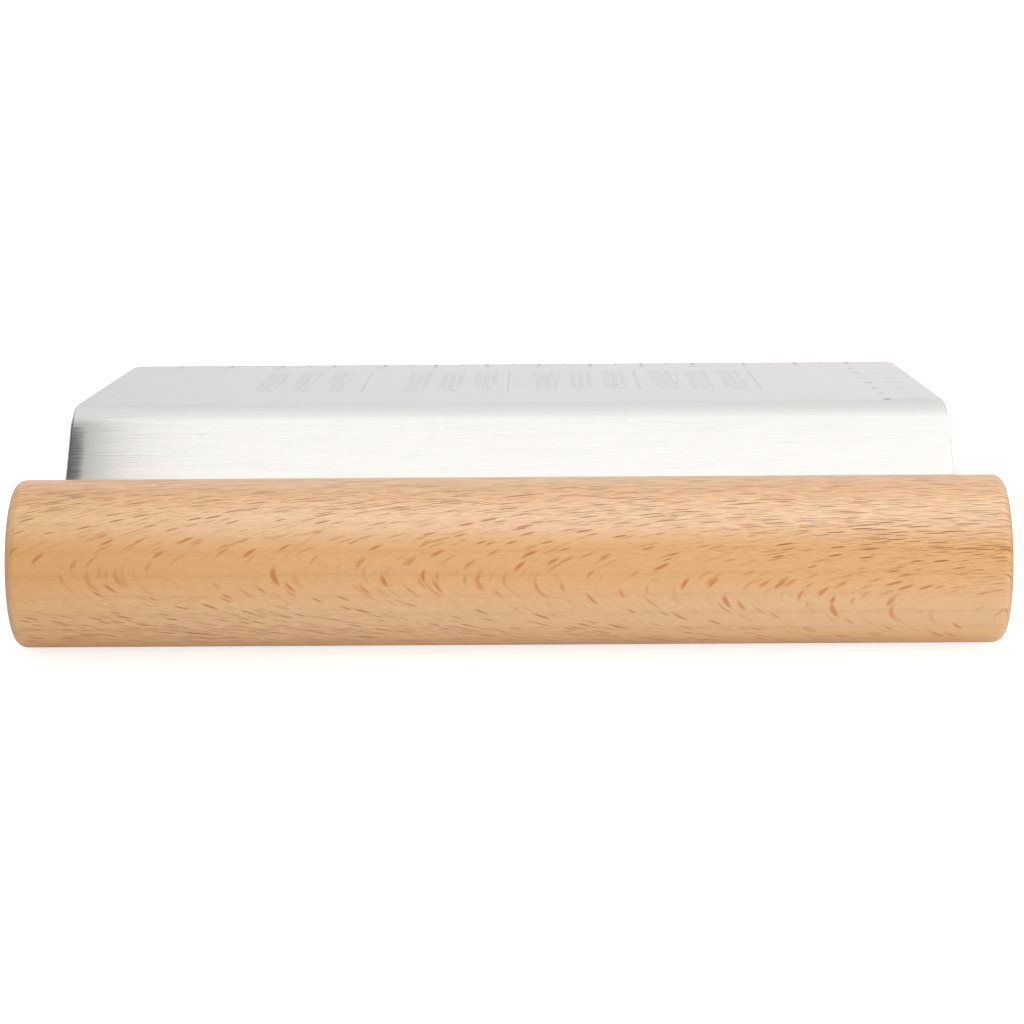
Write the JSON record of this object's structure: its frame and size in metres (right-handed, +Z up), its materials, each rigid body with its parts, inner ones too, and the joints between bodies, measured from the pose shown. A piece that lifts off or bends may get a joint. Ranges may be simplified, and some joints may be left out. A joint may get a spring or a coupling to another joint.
{
  "type": "dough scraper",
  "caption": "Dough scraper: cranked rectangular stainless-steel blade let into a slot along a round beech handle, for cutting dough and clearing a bench.",
  "frame": {"origin": "on the bench, under the middle of the tool's length and depth, as it lies hollow side down", "axes": "+X along the handle, +Y from the handle towards the scraping edge, +Z up from the bench"},
  "size_m": [0.1616, 0.1176, 0.0282],
  "materials": {
    "beech": "turned and sanded, bare, satin",
    "blade_steel": "brushed along the blade's width",
    "pin_steel": "drawn wire, satin"
  },
  "bodies": {
    "root": {"handle": "beech", "blade": "blade_steel", "cross_pin_1": "pin_steel", "cross_pin_2": "pin_steel", "cross_pin_3": "pin_steel"}
  },
  "joints": []
}
